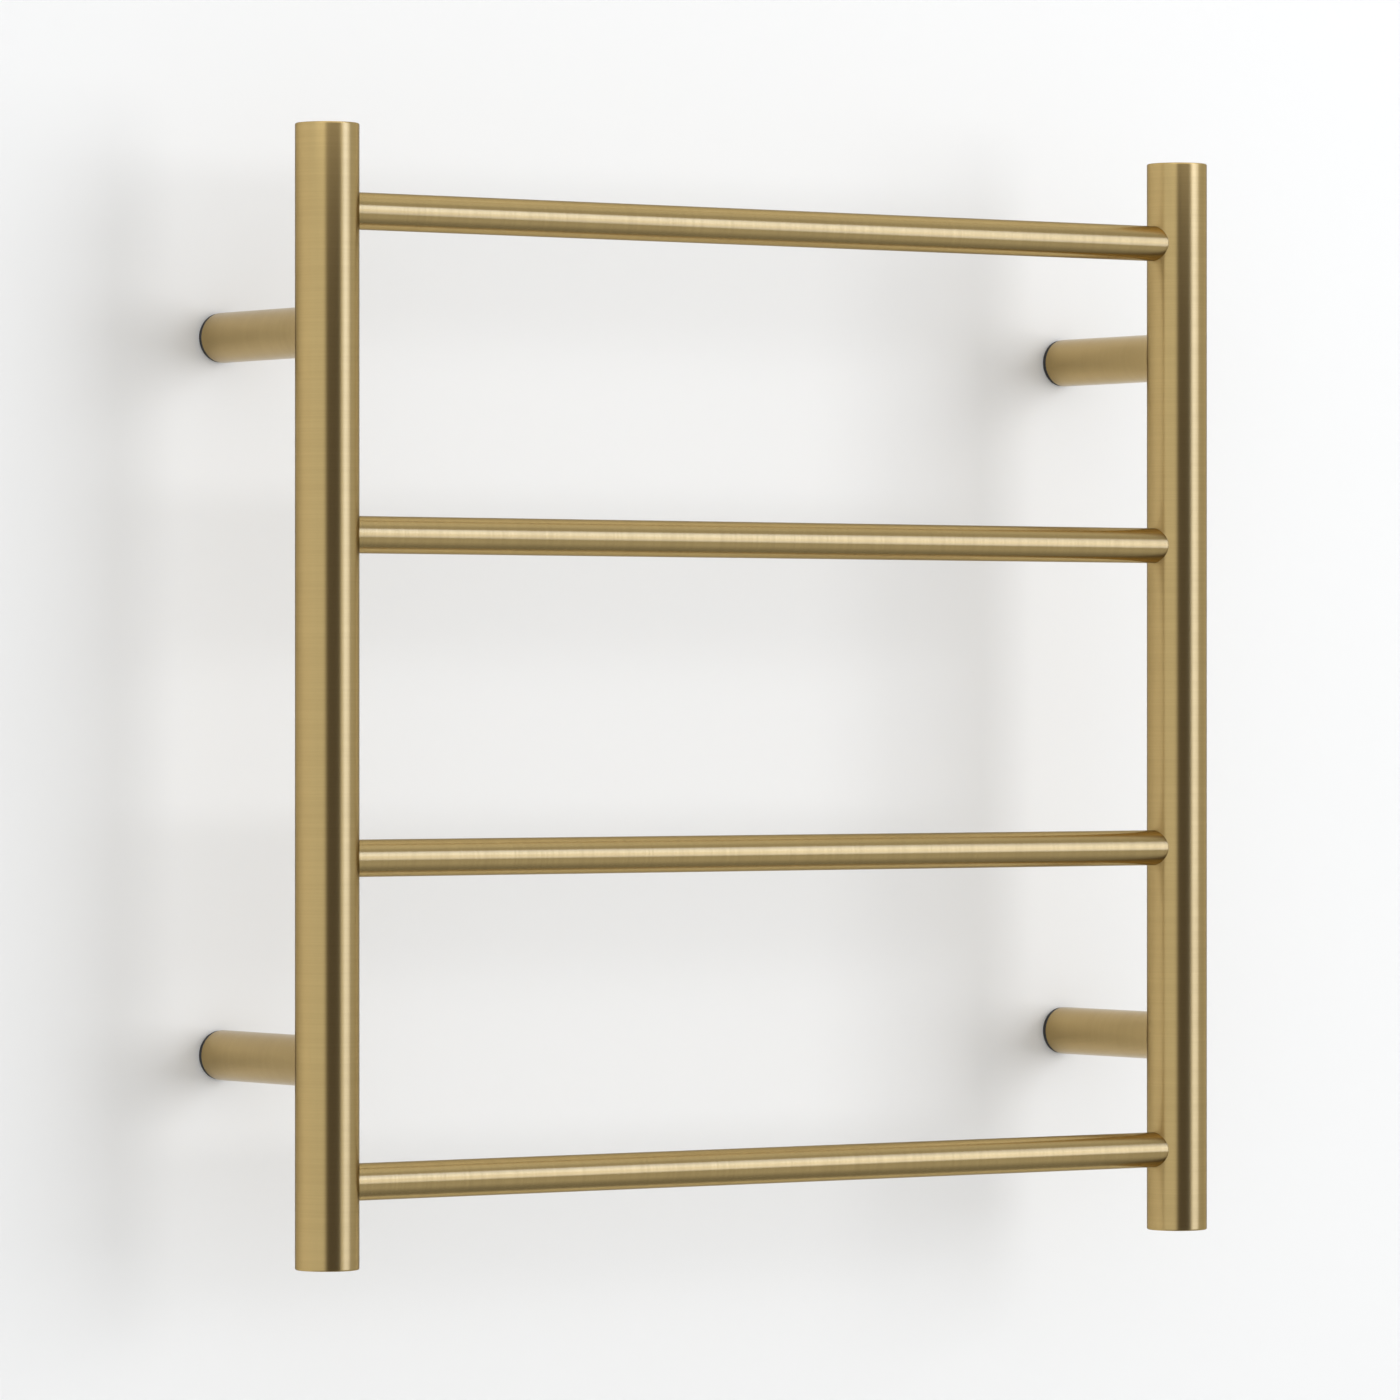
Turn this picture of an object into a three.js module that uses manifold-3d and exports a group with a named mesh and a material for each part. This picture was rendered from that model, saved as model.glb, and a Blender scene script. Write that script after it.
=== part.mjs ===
// Wall-mounted towel warmer: a ladder rack of round tube, warmed by an electric heating cable that
// runs inside it, held off the wall by four posts that slide over bosses screwed to the wall.
//
// Millimetres, +Z up. The wall is the plane Y = 0 and the rack stands in front of it, at negative Y.
// The origin is on the wall, at the centre of the four fixing points. Left and right are those of a
// person who faces the rack.

import * as THREE from "three";
import { mergeVertices } from "three/addons/utils/BufferGeometryUtils.js";
import Module from "manifold-3d";

const wasm = await Module();
wasm.setup();

// ---------------------------------------------------------------- Driving dimensions

const rack = {
  width: 550, // across the outsides of the two uprights
  height: 550, // length of the uprights
  axisFromWall: 98, // wall to the axes of the uprights and bars
};
const upright = { diameter: 31, wall: 1.5, edge: 0.8 };
const bar = {
  diameter: 18,
  wall: 1.2,
  count: 4,
  endMargin: 41.5, // end of an upright to the axis of the nearest bar
  standsInside: 0.7, // how far a bar's end stands past the upright's wall, inside it
};
const cap = { plate: 2, skirt: 8, skirtWall: 1.5 };
const post = {
  diameter: 24.5,
  bore: 17.5,
  web: 5, // thickness of the end wall that bears on the upright
  endMargin: 99.5, // end of an upright to the axis of the nearest post
  fromWall: 2.3, // the open end stops this short of the wall
  edge: 0.5,
};
const nipple = { diameter: 10, bore: 7.2, standsInside: 0.5, pastNut: 1.5 };
const bush = { diameter: 13, fromAxis: 9, belowSurface: 1.5 };
const washer = { diameter: 16, thickness: 1 };
const nut = { acrossFlats: 14, thickness: 4 };
const earthTab = { width: 4, thickness: 0.8, length: 13 };
const boss = {
  length: 24,
  base: 16, // solid length, from the wall to the bottom of the cup in the nose
  cup: 14,
  flange: 2,
  flangeDiameter: 23.9,
  flat: 0.6, // depth of the flat that the grub screw bears on
  nose: 1, // chamfer that guides the post on
  screwUp: 3.2, // the screw's hole is this far above the boss's axis
  leadDown: 3.9, // the lead's hole is this far below it
  leadHole: 6,
};
const wallScrew = { diameter: 3.8, head: 7, headDepth: 2, length: 50, point: 6, recess: 1.3 };
const grubScrew = { diameter: 4, fromWall: 12, socket: 2, socketDepth: 1.8, point: 0.8, sunk: 0.05 };
const grommet = { bore: 5.4, flange: 8.8, flangeThickness: 1.4, depth: 3.6 };
const cable = { diameter: 4.5, bend: 9 };
const returnRun = { side: 5.5, back: 5 }; // where the return run lies, off the left upright's axis
const splice = { diameter: 9, length: 36, above: 45 }; // its middle is this far above the lower post
const cutout = { diameter: 8, length: 24, below: 46 }; // its middle is this far below the upper post

// Clearances.
const sliding = 0.15; // all round, between a tube or pin and the hole it goes in
const seated = 0.1; // between two flat faces that bear on each other
const saddle = 0.3; // between a curved cut and the tube it sits on
const bossFit = 0.25; // all round, between a post's bore and its boss

// Facets round each kind of piece.
const facets = { upright: 48, bar: 36, post: 40, boss: 32, small: 20, cable: 8 };

// ---------------------------------------------------------------- Places worked out from them

const uprightRadius = upright.diameter / 2;
const uprightBore = uprightRadius - upright.wall;
const barRadius = bar.diameter / 2;
const postRadius = post.diameter / 2;
const nippleRadius = nipple.diameter / 2;
const bushRadius = bush.diameter / 2;
const bossRadius = post.bore / 2 - bossFit;
const wallScrewRadius = wallScrew.diameter / 2;
const grubRadius = grubScrew.diameter / 2;
const cableRadius = cable.diameter / 2;

const uprightX = rack.width / 2 - uprightRadius;
const postZ = rack.height / 2 - post.endMargin;
const barPitch = (rack.height - 2 * bar.endMargin) / (bar.count - 1);
const barZ = Array.from({ length: bar.count }, (_, i) => rack.height / 2 - bar.endMargin - i * barPitch);
const sides = [
  { name: "left", x: -uprightX, inward: 1 },
  { name: "right", x: uprightX, inward: -1 },
];
const levels = [
  { name: "upper", z: postZ },
  { name: "lower", z: -postZ },
];

// Along a post's axis, as distances in front of the wall.
const uprightBack = rack.axisFromWall - uprightRadius;
const webFace = uprightBack - saddle - post.web;
const washerFace = webFace - seated - washer.thickness;
const nutFace = washerFace - seated - nut.thickness;
const nippleEnd = nutFace - nipple.pastNut;

// ---------------------------------------------------------------- Materials

const finish = (color, roughness, metalness) => new THREE.MeshStandardMaterial({ color, roughness, metalness });
const brushedBrass = () => finish(0xb79a62, 0.32, 1);
const brightSteel = () => finish(0xb9bcc0, 0.35, 1);
const blackNylon = () => finish(0x1d1d1e, 0.6, 0);
const greyRubber = () => finish(0x3a3a3c, 0.85, 0);
const redSilicone = () => finish(0x8e2f26, 0.55, 0);
const mouldedResin = () => finish(0x26282b, 0.5, 0);

// ---------------------------------------------------------------- Shape helpers

// A closed mesh as a solid that can be joined and cut.
function solidOf(geometry) {
  const bare = geometry.clone();
  bare.deleteAttribute("normal");
  bare.deleteAttribute("uv");
  const merged = mergeVertices(bare, 1e-4);
  return new wasm.Manifold(
    new wasm.Mesh({
      numProp: 3,
      vertProperties: merged.attributes.position.array,
      triVerts: new Uint32Array(merged.index.array),
    }),
  );
}

// The solid as a geometry again, with flat normals.
function geometryOf(solid) {
  const mesh = solid.getMesh();
  const geometry = new THREE.BufferGeometry();
  geometry.setAttribute("position", new THREE.BufferAttribute(mesh.vertProperties, 3));
  geometry.setIndex(new THREE.BufferAttribute(mesh.triVerts, 1));
  const flat = geometry.toNonIndexed();
  flat.computeVertexNormals();
  return flat;
}

// The blank with each tool cut out of it.
function cut(blank, ...tools) {
  return geometryOf(tools.reduce((solid, tool) => solid.subtract(solidOf(tool)), solidOf(blank)));
}

// Turned about the Y axis from [radius, y] points, given clockwise: up the axis side and down the rim.
function turned(profile, sidesRound) {
  const points = profile.map(([radius, y]) => new THREE.Vector2(radius, y));
  if (THREE.ShapeUtils.area(points) < 0) points.reverse();
  return new THREE.LatheGeometry([...points, points[0].clone()], sidesRound);
}

// A plain pin or a plain sleeve along Y, from y0 to y1.
function pin(radius, y0, y1, sidesRound) {
  return turned([[0, y0], [radius, y0], [radius, y1], [0, y1]], sidesRound);
}
function sleeve(outer, inner, y0, y1, sidesRound) {
  return turned([[inner, y0], [outer, y0], [outer, y1], [inner, y1]], sidesRound);
}

// A quarter round of the given radius about a corner, as [radius, y] points.
function roundedCorner(x, y, radius, fromDegrees, steps = 3) {
  return Array.from({ length: steps + 1 }, (_, i) => {
    const angle = THREE.MathUtils.degToRad(fromDegrees + (90 * i) / steps);
    return [x + radius * Math.cos(angle), y + radius * Math.sin(angle)];
  });
}

// A hexagonal prism along Y, with a flat facing +X and -X.
function hexagon(acrossFlats, y0, y1) {
  const corner = acrossFlats / Math.sqrt(3);
  return new THREE.CylinderGeometry(corner, corner, y1 - y0, 6).translate(0, (y0 + y1) / 2, 0);
}

function named(name, geometry, material) {
  const mesh = new THREE.Mesh(geometry, material);
  mesh.name = name;
  return mesh;
}

// ---------------------------------------------------------------- Uprights, end caps and bars

// A tube with rounded rims, a hole for each bar in its inner wall and for each bush in its back wall.
function uprightGeometry(inward) {
  const half = rack.height / 2;
  const rim = uprightRadius - upright.edge;
  const blank = turned(
    [
      [uprightBore, -half],
      ...roundedCorner(rim, -half + upright.edge, upright.edge, -90),
      ...roundedCorner(rim, half - upright.edge, upright.edge, 0),
      [uprightBore, half],
    ],
    facets.upright,
  ).rotateX(Math.PI / 2);
  const barHoles = barZ.map((z) =>
    pin(barRadius + sliding, 0, uprightRadius + 1, facets.bar)
      .rotateZ((-inward * Math.PI) / 2)
      .translate(0, 0, z),
  );
  const bushHoles = levels.map(({ z }) =>
    pin(bushRadius + sliding, 0, uprightRadius + 1, facets.small).translate(0, 0, z),
  );
  return cut(blank, ...barHoles, ...bushHoles);
}

// A plug with a skirt, flush with the upright's end. It faces up.
function capGeometry() {
  const radius = uprightBore - sliding;
  return turned(
    [
      [0, -cap.plate],
      [radius - cap.skirtWall, -cap.plate],
      [radius - cap.skirtWall, -cap.skirt],
      [radius, -cap.skirt],
      [radius, -cap.skirtWall / 3],
      [radius - cap.skirtWall / 3, 0],
      [0, 0],
    ],
    facets.upright,
  ).rotateX(Math.PI / 2);
}

function barGeometry() {
  const end = uprightX - Math.sqrt(uprightBore ** 2 - barRadius ** 2) + bar.standsInside;
  return sleeve(barRadius, barRadius - bar.wall, -end, end, facets.bar).rotateZ(-Math.PI / 2);
}

function ladder() {
  const group = new THREE.Group();
  group.position.y = -rack.axisFromWall;
  const capAt = rack.height / 2;
  for (const { name, x, inward } of sides) {
    const tube = named(`${name}_upright`, uprightGeometry(inward), brushedBrass());
    tube.position.x = x;
    const top = named(`${name}_top_cap`, capGeometry(), brushedBrass());
    top.position.set(x, 0, capAt);
    const bottom = named(`${name}_bottom_cap`, capGeometry(), brushedBrass());
    bottom.position.set(x, 0, -capAt);
    bottom.rotation.x = Math.PI;
    group.add(tube, top, bottom);
  }
  barZ.forEach((z, i) => {
    const rung = named(`towel_bar_${i + 1}`, barGeometry(), brushedBrass());
    rung.position.z = z;
    group.add(rung);
  });
  return group;
}

// ---------------------------------------------------------------- Heating cable and what is on it

// A path through given stations that keeps each station, so that straights take no extra steps.
class StationPath extends THREE.Curve {
  constructor(stations) {
    super();
    this.stations = stations;
  }
  getPoint(t, target = new THREE.Vector3()) {
    const last = this.stations.length - 1;
    return target.copy(this.stations[Math.round(t * last)]);
  }
  getPointAt(u, target) {
    return this.getPoint(u, target);
  }
  getTangentAt(u, target = new THREE.Vector3()) {
    const last = this.stations.length - 1;
    const i = Math.round(u * last);
    const before = this.stations[Math.max(i - 1, 0)];
    const after = this.stations[Math.min(i + 1, last)];
    return target.subVectors(after, before).normalize();
  }
}

// The corners of a route, each replaced by an arc of the cable's bend radius.
function bentRoute(corners, radius, arcSteps = 6) {
  const stations = [corners[0]];
  for (let i = 1; i < corners.length - 1; i++) {
    const corner = corners[i];
    const back = corners[i - 1].clone().sub(corner).normalize();
    const on = corners[i + 1].clone().sub(corner).normalize();
    const halfAngle = back.angleTo(on) / 2;
    const axis = new THREE.Vector3().crossVectors(on, back).normalize();
    const centre = back.clone().add(on).normalize().multiplyScalar(radius / Math.sin(halfAngle)).add(corner);
    const start = back.multiplyScalar(radius / Math.tan(halfAngle)).add(corner).sub(centre);
    const sweep = Math.PI - 2 * halfAngle;
    for (let k = 0; k <= arcSteps; k++) {
      stations.push(start.clone().applyAxisAngle(axis, (sweep * k) / arcSteps).add(centre));
    }
  }
  stations.push(corners.at(-1));
  return stations;
}

function cableGeometry(corners) {
  const section = new THREE.Shape(
    Array.from({ length: facets.cable }, (_, i) => {
      const angle = (2 * Math.PI * i) / facets.cable;
      return new THREE.Vector2(cableRadius * Math.cos(angle), cableRadius * Math.sin(angle));
    }),
  );
  const stations = bentRoute(corners, cable.bend);
  return new THREE.ExtrudeGeometry(section, {
    steps: stations.length - 1,
    extrudePath: new StationPath(stations),
    bevelEnabled: false,
  });
}

// A capsule-like moulding along Z with chamfered ends.
function mouldingGeometry(diameter, length) {
  const chamfer = diameter / 6;
  const half = length / 2;
  return turned(
    [
      [0, -half],
      [diameter / 2 - chamfer, -half],
      [diameter / 2, -half + chamfer],
      [diameter / 2, half - chamfer],
      [diameter / 2 - chamfer, half],
      [0, half],
    ],
    facets.small,
  ).rotateX(Math.PI / 2);
}

// The hot cable leaves the splice, zigzags up through every bar and comes down the left upright to the
// thermal cut-out. The return cable joins the cut-out to the splice, so both ends meet at the lead.
function heating() {
  const group = new THREE.Group();
  group.position.y = -rack.axisFromWall;
  const at = (x, z, y = 0) => new THREE.Vector3(x, y, z);
  const returnX = -uprightX - returnRun.side;
  const spliceZ = -postZ + splice.above;
  const cutoutZ = postZ - cutout.below;
  const spliceEnd = splice.length / 2 + seated;
  const cutoutEnd = cutout.length / 2 + seated;

  const zigzag = barZ.toReversed().flatMap((z, i) => {
    const ends = [at(-uprightX, z), at(uprightX, z)];
    return i % 2 ? ends.reverse() : ends;
  });
  zigzag[0] = at(returnX, barZ.at(-1), returnRun.back);
  if (zigzag.at(-1).x < 0) zigzag.splice(-1, 1, at(returnX, barZ[0], returnRun.back));
  const route = [
    at(returnX, spliceZ - spliceEnd, returnRun.back),
    ...zigzag,
    at(returnX, cutoutZ + cutoutEnd, returnRun.back),
  ];
  group.add(named("heating_cable", cableGeometry(route), redSilicone()));

  const back = [
    at(returnX, cutoutZ - cutoutEnd, returnRun.back),
    at(returnX, spliceZ + spliceEnd, returnRun.back),
  ];
  group.add(named("return_cable", cableGeometry(back), redSilicone()));

  const mouldings = [
    ["thermal_cutout", cutout, cutoutZ],
    ["lead_splice", splice, spliceZ],
  ];
  for (const [name, size, z] of mouldings) {
    const moulding = named(name, mouldingGeometry(size.diameter, size.length), mouldedResin());
    moulding.position.set(returnX, returnRun.back, z);
    group.add(moulding);
  }
  return group;
}

// ---------------------------------------------------------------- Posts and what joins them to the rack

// A thick tube: its front end is cut to sit on the upright, and its open end goes over the boss.
function postGeometry() {
  const bore = post.bore / 2;
  const blank = turned(
    [
      [nippleRadius + sliding, -rack.axisFromWall],
      [nippleRadius + sliding, -webFace],
      [bore, -webFace],
      [bore, -post.fromWall],
      [postRadius - post.edge, -post.fromWall],
      [postRadius, -post.fromWall - post.edge],
      [postRadius, -rack.axisFromWall],
    ],
    facets.post,
  );
  const seat = pin(uprightRadius + saddle, -post.diameter, post.diameter, facets.upright)
    .rotateX(Math.PI / 2)
    .translate(0, -rack.axisFromWall, 0);
  const grubHole = pin(grubRadius + sliding, -postRadius - 1, 0, facets.small)
    .rotateX(Math.PI / 2)
    .translate(0, -grubScrew.fromWall, 0);
  return cut(blank, seat, grubHole);
}

// The threaded bush in the upright's back wall.
function bushGeometry() {
  const [back, front] = [-rack.axisFromWall + uprightRadius - bush.belowSurface, -rack.axisFromWall + bush.fromAxis];
  return sleeve(bushRadius, nippleRadius + sliding, front, back, facets.small);
}

function nippleGeometry() {
  const inner = -rack.axisFromWall + bush.fromAxis - nipple.standsInside;
  return sleeve(nippleRadius, nipple.bore / 2, inner, -nippleEnd, facets.small);
}

function nutGeometry() {
  const hole = pin(nippleRadius + sliding, -nutFace - nut.thickness - 1, -nutFace + 1, facets.small);
  return cut(hexagon(nut.acrossFlats, -nutFace - nut.thickness, -nutFace), hole);
}

function washerGeometry() {
  return sleeve(
    washer.diameter / 2,
    nippleRadius + sliding,
    -washerFace - washer.thickness,
    -washerFace,
    facets.small,
  );
}

// The same washer with a tab that turns towards the wall along a flat of the nut, for the earth wire.
function earthTagGeometry() {
  const tabInner = nut.acrossFlats / 2 + 2 * seated;
  const tab = new THREE.BoxGeometry(earthTab.thickness, earthTab.length, earthTab.width).translate(
    tabInner + earthTab.thickness / 2,
    -washerFace - washer.thickness + earthTab.length / 2,
    0,
  );
  return geometryOf(solidOf(washerGeometry()).add(solidOf(tab)));
}

// The rubber ring in the nipple's mouth, where the supply lead leaves the rack.
function grommetGeometry() {
  const mouth = -nippleEnd + seated;
  const neck = nipple.bore / 2 - sliding;
  return turned(
    [
      [grommet.bore / 2, mouth - grommet.depth],
      [neck, mouth - grommet.depth],
      [neck, mouth],
      [grommet.flange / 2, mouth],
      [grommet.flange / 2, mouth + grommet.flangeThickness],
      [grommet.bore / 2, mouth + grommet.flangeThickness],
    ],
    facets.small,
  );
}

// The set screw under a post, with its point up and its hexagon socket down. It stands on its own axis.
function grubScrewGeometry() {
  const top = -(bossRadius - boss.flat) - saddle;
  const bottom = -postRadius + grubScrew.sunk;
  const blank = turned(
    [
      [0, bottom],
      [grubRadius - 0.3, bottom],
      [grubRadius, bottom + 0.3],
      [grubRadius, top - grubScrew.point],
      [grubRadius - grubScrew.point, top],
      [0, top],
    ],
    facets.small,
  );
  const socket = hexagon(grubScrew.socket, bottom - 1, bottom + grubScrew.socketDepth);
  return cut(blank, socket).rotateX(Math.PI / 2);
}

// ---------------------------------------------------------------- Wall bosses and their screws

// A cup with a flange against the wall, which shows as a dark line behind the post. Its screw sits
// above the axis and the lead passes below.
function bossGeometry() {
  const bore = boss.cup / 2;
  const blank = turned(
    [
      [0, -boss.base],
      [bore, -boss.base],
      [bore, -boss.length],
      [bossRadius - boss.nose, -boss.length],
      [bossRadius, -boss.length + boss.nose],
      [bossRadius, -boss.flange],
      [boss.flangeDiameter / 2, -boss.flange],
      [boss.flangeDiameter / 2, 0],
      [0, 0],
    ],
    facets.boss,
  );
  const screwHole = turned(
    [
      [0, -boss.base - 1],
      [wallScrew.head / 2 + sliding, -boss.base - 1],
      [wallScrew.head / 2 + sliding, -boss.base],
      [wallScrewRadius + sliding, -boss.base + wallScrew.headDepth],
      [wallScrewRadius + sliding, 1],
      [0, 1],
    ],
    facets.small,
  ).translate(0, 0, boss.screwUp);
  const leadHole = pin(boss.leadHole / 2, -boss.base - 1, 1, facets.small).translate(0, 0, -boss.leadDown);
  const flatTop = -(bossRadius - boss.flat);
  const flatCut = new THREE.BoxGeometry(post.bore, boss.length - boss.flange, boss.flat + 1).translate(
    0,
    -(boss.length + boss.flange) / 2 - seated,
    flatTop - (boss.flat + 1) / 2,
  );
  return cut(blank, screwHole, leadHole, flatCut);
}

// A countersunk screw: its head is inside the boss and its point is in the wall.
function wallScrewGeometry() {
  const headFace = -boss.base - seated;
  const tip = headFace + wallScrew.length;
  const blank = turned(
    [
      [0, headFace],
      [wallScrew.head / 2, headFace],
      [wallScrewRadius, headFace + wallScrew.headDepth],
      [wallScrewRadius, tip - wallScrew.point],
      [0, tip],
    ],
    facets.small,
  ).translate(0, 0, boss.screwUp);
  const arm = wallScrew.head * 0.6;
  const slots = [[arm, 1], [1, arm]].map(([width, height]) =>
    new THREE.BoxGeometry(width, 2 * wallScrew.recess, height).translate(0, headFace, boss.screwUp),
  );
  return cut(blank, ...slots);
}

// ---------------------------------------------------------------- The four fixing points

function fixingPoint(side, level) {
  const corner = `${side.name}_${level.name}`;
  const group = new THREE.Group();
  group.position.set(side.x, 0, level.z);
  const hasLead = side.name === "left" && level.name === "lower";
  const grub = named(`${corner}_grub_screw`, grubScrewGeometry(), brightSteel());
  grub.position.y = -grubScrew.fromWall;
  group.add(
    named(`${corner}_post`, postGeometry(), brushedBrass()),
    named(`${corner}_bush`, bushGeometry(), brightSteel()),
    named(`${corner}_nipple`, nippleGeometry(), brightSteel()),
    named(`${corner}_nut`, nutGeometry(), brightSteel()),
    grub,
    named(`${corner}_boss`, bossGeometry(), blackNylon()),
    named(`${corner}_wall_screw`, wallScrewGeometry(), brightSteel()),
  );
  if (hasLead) {
    group.add(
      named("earth_tag", earthTagGeometry(), brightSteel()),
      named("lead_grommet", grommetGeometry(), greyRubber()),
    );
  } else {
    group.add(named(`${corner}_washer`, washerGeometry(), brightSteel()));
  }
  return group;
}

const towelWarmer = new THREE.Group();
towelWarmer.add(ladder(), heating());
for (const side of sides) {
  for (const level of levels) towelWarmer.add(fixingPoint(side, level));
}

export default towelWarmer;
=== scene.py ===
# Wall-mounted towel warmer: a ladder rack of brushed brass tube on four posts, drawn round its packed
# CAD model. Metres, +Z up; the wall is the plane Y = 0 and the rack stands in front of it, at negative Y.
import math

import bmesh
import bpy
from mathutils import Matrix, Vector


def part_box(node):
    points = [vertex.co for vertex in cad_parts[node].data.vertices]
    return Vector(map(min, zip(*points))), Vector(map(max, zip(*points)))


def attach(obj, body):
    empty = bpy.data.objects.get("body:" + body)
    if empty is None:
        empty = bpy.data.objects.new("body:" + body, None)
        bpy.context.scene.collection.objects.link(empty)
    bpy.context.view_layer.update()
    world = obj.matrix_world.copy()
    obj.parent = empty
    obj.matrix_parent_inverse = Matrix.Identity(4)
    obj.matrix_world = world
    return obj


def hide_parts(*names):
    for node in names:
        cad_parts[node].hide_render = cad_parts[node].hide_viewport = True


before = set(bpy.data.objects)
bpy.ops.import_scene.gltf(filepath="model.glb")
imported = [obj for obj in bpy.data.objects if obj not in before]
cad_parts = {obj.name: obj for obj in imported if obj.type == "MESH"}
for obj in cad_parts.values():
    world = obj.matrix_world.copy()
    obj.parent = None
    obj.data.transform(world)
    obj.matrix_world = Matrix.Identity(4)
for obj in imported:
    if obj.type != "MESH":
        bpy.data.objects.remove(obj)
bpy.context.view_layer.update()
MM = 0.001

# ---------------------------------------------------------------------------------------------------
# Camera, wall, floor and light. A long lens looks level at the rack from its left. A large softbox
# stands to the right, the room is pale, and its front is dark, which gives the tubes their dark and
# bright bands. The wall and the floor let through what is seen from behind them.
# ---------------------------------------------------------------------------------------------------
VIEW_YAW = math.radians(35.004)
VIEW_FROM = Vector((-2.3398, -3.3803, -0.0017))
LENS_MM = 208.09

lens = bpy.data.cameras.new("camera")
lens.lens = LENS_MM
lens.sensor_width = 36
lens.clip_end = 50
camera = bpy.data.objects.new("camera", lens)
camera.location = VIEW_FROM
camera.rotation_euler = (math.pi / 2, 0, -VIEW_YAW)
bpy.context.scene.collection.objects.link(camera)
bpy.context.scene.camera = camera
bpy.context.scene.view_settings.view_transform = "Standard"


def placed(piece_name, mesh):
    """A new object in the scene that shows the mesh."""
    piece = bpy.data.objects.new(piece_name, mesh)
    bpy.context.scene.collection.objects.link(piece)
    return piece


def sheet_of(piece_name, corners):
    """A flat card with these four corners, given anticlockwise as seen from its front."""
    mesh = bpy.data.meshes.new(piece_name)
    mesh.from_pydata(corners, [], [(0, 1, 2, 3)])
    card = placed(piece_name, mesh)
    return card


def node(tree, kind, x, y, **settings):
    """A node at (x, y) in the tree, with its properties set."""
    made = tree.nodes.new(kind)
    made.location = (x, y)
    for key, value in settings.items():
        setattr(made, key, value)
    return made


def joined(tree, *pairs):
    """Links each (output, input) pair."""
    for output, put in pairs:
        tree.links.new(output, put)


def bare_material(material_name):
    """An empty node material and its tree, with the output node in place."""
    material = bpy.data.materials.new(material_name)
    material.use_nodes = True
    tree = material.node_tree
    tree.nodes.clear()
    return material, tree, node(tree, "ShaderNodeOutputMaterial", 600, 0)


ROOM_WIDE, ROOM_HIGH, ROOM_DEEP, FLOOR_AT = 1.6, 1.5, 4.0, -0.75
WALL_AT = 0.4 * MM
wall = sheet_of("wall", [
    (-ROOM_WIDE, WALL_AT, FLOOR_AT), (ROOM_WIDE, WALL_AT, FLOOR_AT),
    (ROOM_WIDE, WALL_AT, ROOM_HIGH), (-ROOM_WIDE, WALL_AT, ROOM_HIGH)])
floor = sheet_of("floor", [
    (-ROOM_DEEP, -ROOM_DEEP, FLOOR_AT), (ROOM_DEEP, -ROOM_DEEP, FLOOR_AT),
    (ROOM_DEEP, ROOM_DEEP, FLOOR_AT), (-ROOM_DEEP, ROOM_DEEP, FLOOR_AT)])


def one_sided_paint(material_name, color, specular):
    """Matt paint that lets through what is seen from behind it."""
    painted, tree, out = bare_material(material_name)
    paint = node(tree, "ShaderNodeBsdfPrincipled", 0, 100)
    paint.inputs["Base Color"].default_value = color
    paint.inputs["Roughness"].default_value = 0.6
    paint.inputs["Specular IOR Level"].default_value = specular
    clear = node(tree, "ShaderNodeBsdfTransparent", 0, -300)
    facing = node(tree, "ShaderNodeNewGeometry", 0, 400)
    either = node(tree, "ShaderNodeMixShader", 350, 0)
    joined(tree, (facing.outputs["Backfacing"], either.inputs[0]), (paint.outputs[0], either.inputs[1]),
           (clear.outputs[0], either.inputs[2]), (either.outputs[0], out.inputs[0]))
    return painted


wall.data.materials.append(one_sided_paint("wall_paint", (0.88, 0.885, 0.888, 1), 0.2))
floor.data.materials.append(one_sided_paint("floor_paint", (0.8, 0.8, 0.79, 1), 0))
floor.visible_glossy = False


def area_light(light_name, width, height, radiance, color=(1, 1, 1)):
    """A rectangular light that shines evenly from its face and isn't seen itself."""
    light = bpy.data.lights.new(light_name, "AREA")
    light.shape = "RECTANGLE"
    light.size, light.size_y = width, height
    light.energy = radiance * math.pi * width * height
    light.color = color
    lamp = bpy.data.objects.new(light_name, light)
    lamp.visible_camera = False
    bpy.context.scene.collection.objects.link(lamp)
    return lamp


def softbox(light_name, azimuth, elevation, width, height, distance, radiance, color, lights):
    """A light that faces the rack, from that many degrees to its right and above.

    It lights either what is matt, or what shines.
    """
    lamp = area_light(light_name, width, height, radiance, color)
    a, e = math.radians(azimuth), math.radians(elevation)
    away = Vector((math.sin(a) * math.cos(e), -math.cos(a) * math.cos(e), math.sin(e)))
    lamp.location = away * distance
    lamp.rotation_euler = away.to_track_quat("Z", "Y").to_euler()
    lamp.visible_diffuse = lights == "matt"
    lamp.visible_glossy = lights == "shine"
    return lamp


key = softbox("key_on_wall", 38, 6, 4.8, 6.1, 8.0, 3.35, (1.0, 1.0, 1.0), "matt")
# The floor is left out of the key's light, in which it would glare.
not_floor = bpy.data.collections.new("not_lit_by_key")
not_floor.objects.link(floor)
not_floor.collection_objects[0].light_linking.link_state = "EXCLUDE"
key.light_linking.receiver_collection = not_floor
softbox("key_low_on_metal", 40, -0.2, 2.35, 1.82, 5.0, 1.1, (0.8, 1.02, 1.9), "shine")
softbox("key_high_on_metal", 32, 20.6, 1.76, 1.85, 5.0, 1.38, (0.77, 1.06, 2.2), "shine")

# A small bright card over the top of each upright, which the uprights alone mirror.
lit_by_glow = bpy.data.collections.new("lit_by_glow")
for glow_x in (-0.29, 0.262):
    glow = area_light("glow_over_upright", 0.11, 0.14, 0.9)
    glow.location = (glow_x, -0.187, 0.297)
    glow.visible_diffuse = False
    glow.light_linking.receiver_collection = lit_by_glow

AMBIENT = 0.87  # radiance of the room, as matt surfaces and the camera take it in
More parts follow.
